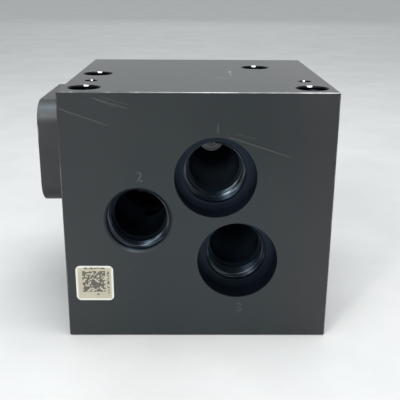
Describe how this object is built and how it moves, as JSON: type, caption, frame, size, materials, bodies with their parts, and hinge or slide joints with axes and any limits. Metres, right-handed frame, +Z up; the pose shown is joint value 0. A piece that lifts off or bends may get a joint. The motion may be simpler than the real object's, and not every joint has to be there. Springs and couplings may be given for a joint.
{
  "type": "hydraulic monoblock valve",
  "caption": "Block-type hydraulic valve with threaded line ports in its front face, a slip-in logic element, a relief cartridge, a check valve, and threaded holes on top.",
  "frame": {"origin": "middle of the block's base face", "axes": "+Z up from the base to the face with the mounting threads, -Y out of the face with the line ports, -X out of the face with the side cover"},
  "size_m": [0.1655, 0.1842, 0.134],
  "materials": {
    "blackened_steel": "satin black oxide, lightly scratched",
    "cover_steel": "satin black oxide",
    "label_film": "matt printed polyester film",
    "screw_steel": "black oxide, oiled",
    "ground_steel": "hardened and ground",
    "turned_steel": "turned, phosphated",
    "zinc_steel": "zinc plated, clear passivated",
    "spring_steel": "shot peened wire",
    "jet_brass": "turned",
    "nitrile": "moulded, matt",
    "backup_plastic": "cut ring",
    "bonded_washer": "matt"
  },
  "bodies": {
    "valve_block": {"valve_body": "blackened_steel", "identification_label": "label_film", "side_cover": "cover_steel", "cover_screws": "screw_steel", "cover_seal": "nitrile", "jet_seal": "nitrile", "pilot_jet": "jet_brass", "pilot_port_plug": "zinc_steel", "logic_sleeve": "turned_steel", "logic_spring": "spring_steel", "sleeve_seals": "nitrile", "sleeve_backup_rings": "backup_plastic", "relief_cage": "zinc_steel", "relief_seat": "ground_steel", "relief_spring": "spring_steel", "adjust_screw_seal": "nitrile", "adjust_lock_nut": "zinc_steel", "relief_head_seal": "nitrile", "relief_nose_seal": "nitrile", "relief_nose_backup_rings": "backup_plastic", "check_seat": "ground_steel", "check_cage": "turned_steel", "check_spring": "spring_steel", "check_seal": "nitrile", "check_bore_plug": "zinc_steel", "check_bore_washer": "bonded_washer", "gallery_plug": "zinc_steel", "gallery_washer": "bonded_washer"},
    "logic_poppet": {"logic_poppet": "ground_steel"},
    "relief_poppet": {"relief_poppet": "ground_steel", "relief_spring_follower": "turned_steel"},
    "spring_plate": {"relief_spring_plate": "turned_steel"},
    "adjust_screw": {"adjust_screw": "screw_steel"},
    "check_poppet": {"check_poppet": "ground_steel"}
  },
  "joints": [
    {"name": "logic_poppet_slide", "type": "slide", "parent": "valve_block", "child": "logic_poppet", "axis": [-1, 0, 0], "range_m": [0, 0.008], "stiffness_N_per_m": 1500, "springref_m": -0.012, "deforming": ["logic_spring"]},
    {"name": "relief_poppet_slide", "type": "slide", "parent": "valve_block", "child": "relief_poppet", "axis": [0, 1, 0], "range_m": [0, 0.003], "stiffness_N_per_m": 40000, "springref_m": -0.004, "deforming": ["relief_spring"]},
    {"name": "spring_plate_slide", "type": "slide", "parent": "valve_block", "child": "spring_plate", "axis": [0, 1, 0], "range_m": [-0.0015, 0.004], "deforming": ["relief_spring"]},
    {"name": "adjust_screw_turn", "type": "hinge", "parent": "spring_plate", "child": "adjust_screw", "pos_m": [0.009, 0.1, 0.09], "axis": [0, 1, 0], "range_deg": [-365, 965]},
    {"name": "check_poppet_slide", "type": "slide", "parent": "valve_block", "child": "check_poppet", "axis": [-1, 0, 0], "range_m": [0, 0.003], "stiffness_N_per_m": 600, "springref_m": -0.003, "deforming": ["check_spring"]}
  ],
  "couplings": [
    {"joint": "adjust_screw_turn", "follows": "spring_plate_slide", "rad_per_m": 4188.8}
  ]
}
